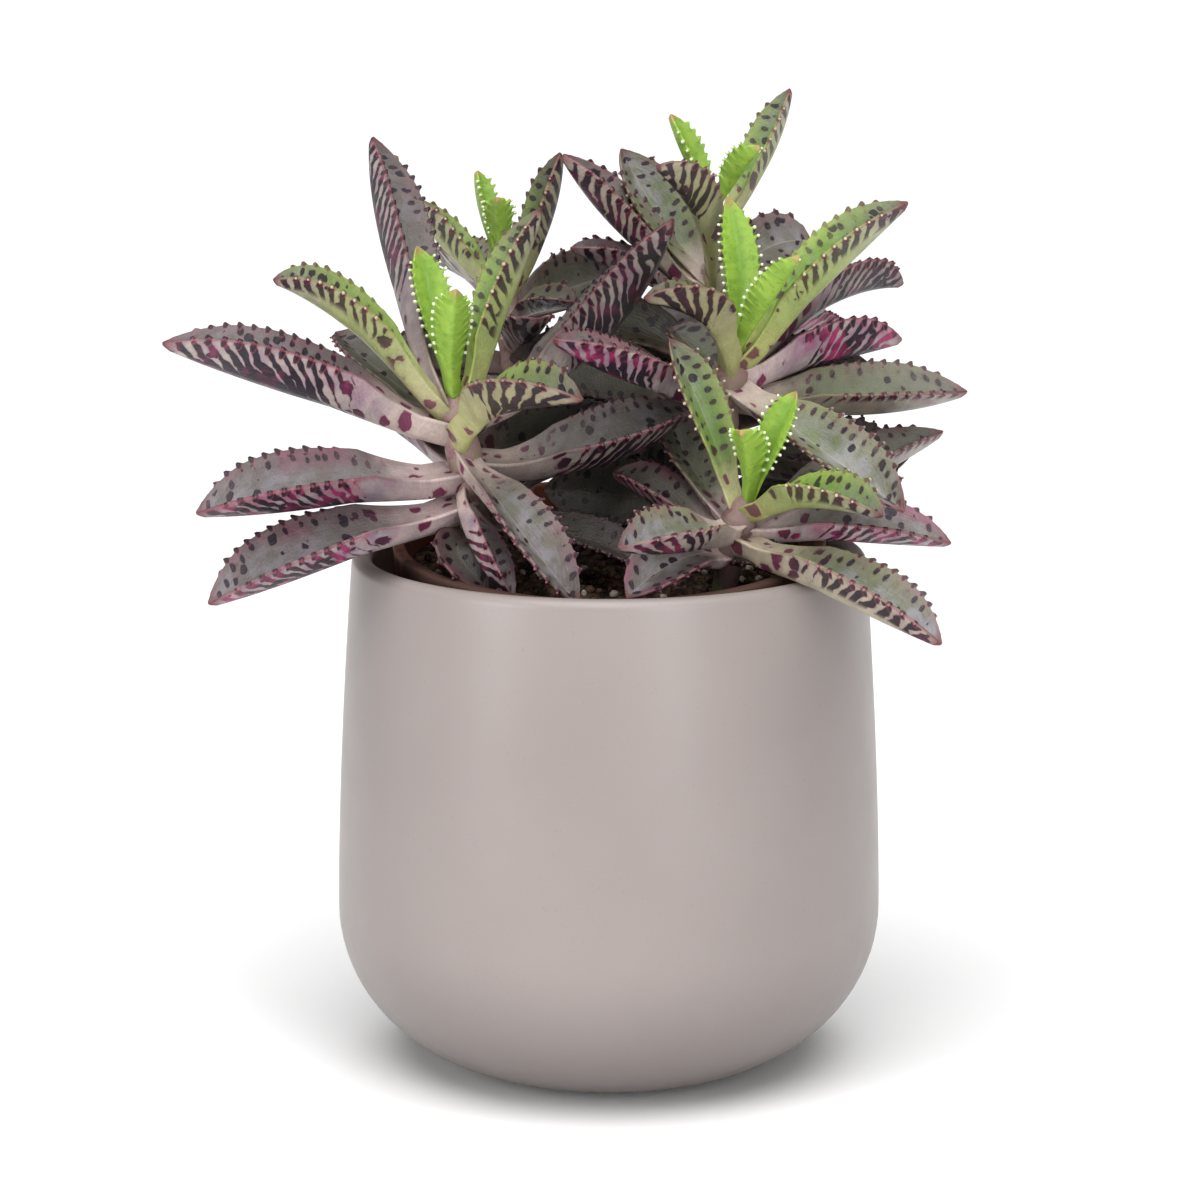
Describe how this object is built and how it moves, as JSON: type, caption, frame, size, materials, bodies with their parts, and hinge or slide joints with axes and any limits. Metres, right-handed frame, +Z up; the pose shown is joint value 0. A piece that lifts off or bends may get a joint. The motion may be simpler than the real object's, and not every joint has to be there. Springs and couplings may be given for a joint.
{
  "type": "potted pink butterflies kalanchoe",
  "caption": "Succulent with spotted, tooth-edged boat-shaped leaves on branching stems, in a plastic nursery pot inside a rounded ceramic pot.",
  "frame": {"origin": "centre of the ceramic pot's flat foot", "axes": "+Z up through the pot, -Y towards the front of the plant, +X to the right as seen from the front"},
  "size_m": [0.189, 0.1464, 0.235],
  "materials": {
    "ceramic": "satin",
    "terracotta_plastic": "matte",
    "potting_mix": "matte",
    "leaf": "satin",
    "young_leaf": "satin"
  },
  "bodies": {
    "root": {"ceramic_pot": "ceramic", "nursery_pot": "terracotta_plastic", "potting_mix": "potting_mix", "leafy_stem_left": "leaf", "leafy_stem_back_left": "leaf", "leafy_stem_top": "leaf", "leafy_stem_right": "leaf", "leafy_stem_lower_right": "leaf", "young_leaves_left": "young_leaf", "young_leaves_back_left": "young_leaf", "young_leaves_top": "young_leaf", "young_leaves_right": "young_leaf", "young_leaves_lower_right": "young_leaf"}
  },
  "joints": []
}
